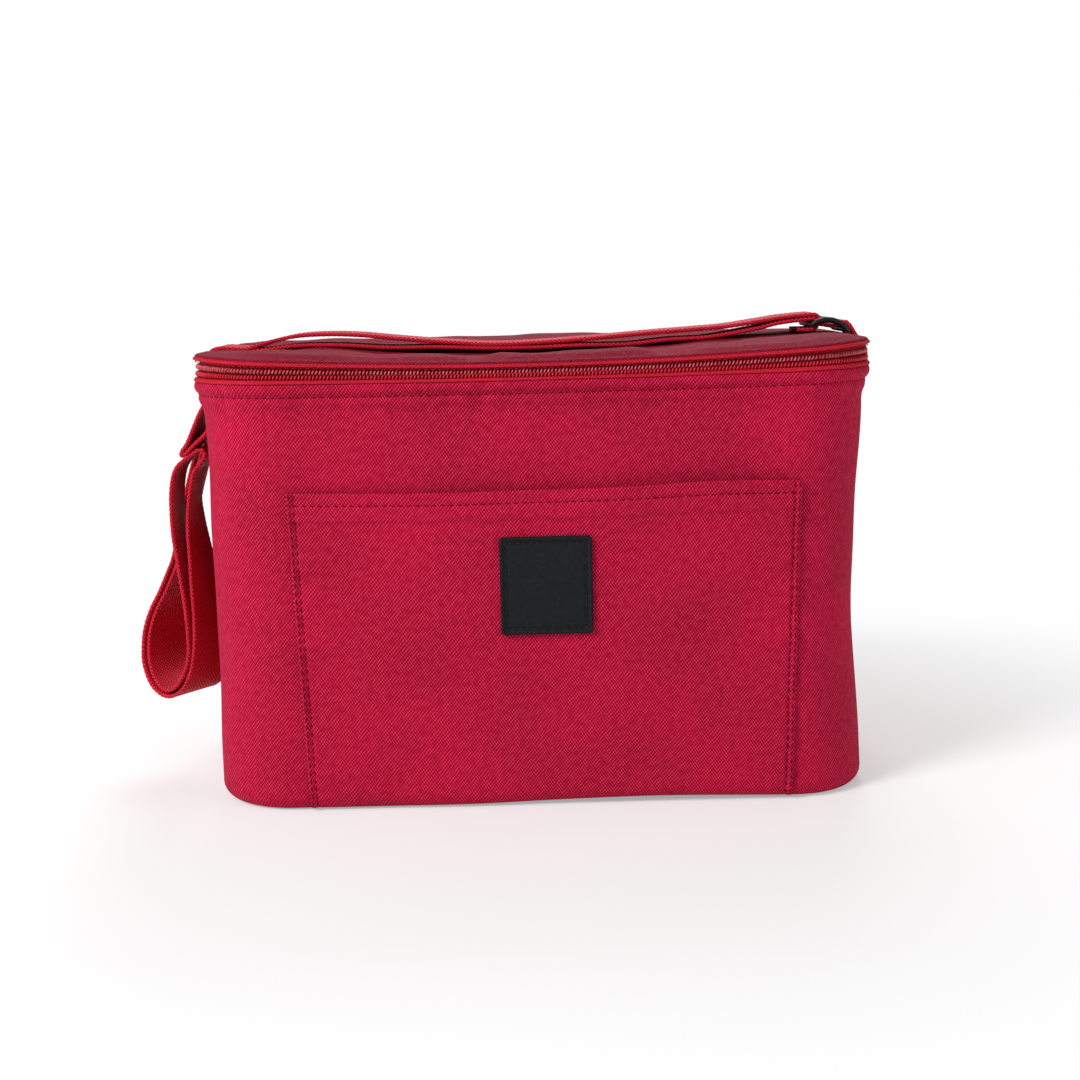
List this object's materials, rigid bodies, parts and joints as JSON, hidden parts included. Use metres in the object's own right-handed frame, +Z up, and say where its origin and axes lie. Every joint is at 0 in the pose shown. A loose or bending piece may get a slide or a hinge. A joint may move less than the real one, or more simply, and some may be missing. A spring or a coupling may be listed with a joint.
{
  "type": "insulated lunch bag",
  "caption": "Soft insulated lunch box with a zipped, rear-hinged lid, an open front pocket, a sewn rubber label and an adjustable webbing strap that hangs in a loop at one side.",
  "frame": {"origin": "centre of the base's bottom face, where the bag stands", "axes": "+Z up; the front with the pocket faces -Y; +X to the right as seen from the front; the lid hinges at the back, +Y"},
  "size_m": [0.3129, 0.1591, 0.1869],
  "materials": {
    "body_fabric": "woven oxford, matte",
    "lid_fabric": "woven oxford, matte",
    "webbing": "woven webbing, slight sheen",
    "zip_tape": "woven tape, slight sheen",
    "zip_coil": "coiled filament",
    "foam": "closed-cell foam sheet",
    "lining": "wipe-clean film",
    "board": "plain sheet",
    "label_rubber": "matte moulded",
    "strap_plastic": "moulded, fine grain",
    "zip_metal": "dark satin"
  },
  "bodies": {
    "body": {"base_panel": "body_fabric", "base_board": "board", "base_foam": "foam", "base_liner": "lining", "wrap_panel": "body_fabric", "back_panel": "body_fabric", "wall_foam": "foam", "back_foam": "foam", "wall_liner": "lining", "pocket_panel": "body_fabric", "label_patch": "label_rubber", "zip_tape_lower": "zip_tape", "zip_coil_lower": "zip_coil", "zip_stop_left": "zip_coil", "zip_stop_right": "zip_coil", "hinge_strip": "body_fabric", "strap_tab": "webbing", "strap_hang": "webbing", "strap_drop_right": "webbing"},
    "lid": {"lid_panel": "lid_fabric", "lid_foam": "foam", "lid_liner": "lining", "zip_coil_upper": "zip_coil", "zip_tape_upper": "zip_tape", "strap_lid_lower": "webbing", "strap_lid_upper": "webbing"},
    "zip_slider": {"zip_slider": "zip_metal"},
    "zip_pull": {"zip_pull": "zip_metal"},
    "strap_glide": {"strap_glide": "strap_plastic"}
  },
  "joints": [
    {"name": "lid_hinge", "type": "hinge", "parent": "body", "child": "lid", "pos_m": [0, 0.075, 0.172], "axis": [-1, 0, 0], "range_deg": [0, 110], "deforming": ["hinge_strip", "strap_hang", "strap_drop_right"]},
    {"name": "zip_slide", "type": "slide", "parent": "body", "child": "zip_slider", "axis": [0, -1, 0], "range_m": [0, 0.082]},
    {"name": "pull_flip", "type": "hinge", "parent": "zip_slider", "child": "zip_pull", "pos_m": [0.13555, 0.044, 0.172], "axis": [0, 0, -1], "range_deg": [0, 180]},
    {"name": "glide_slide", "type": "slide", "parent": "lid", "child": "strap_glide", "axis": [-0.9903, 0, 0.1392], "range_m": [0, 0.03], "deforming": ["strap_lid_lower", "strap_lid_upper"]}
  ]
}
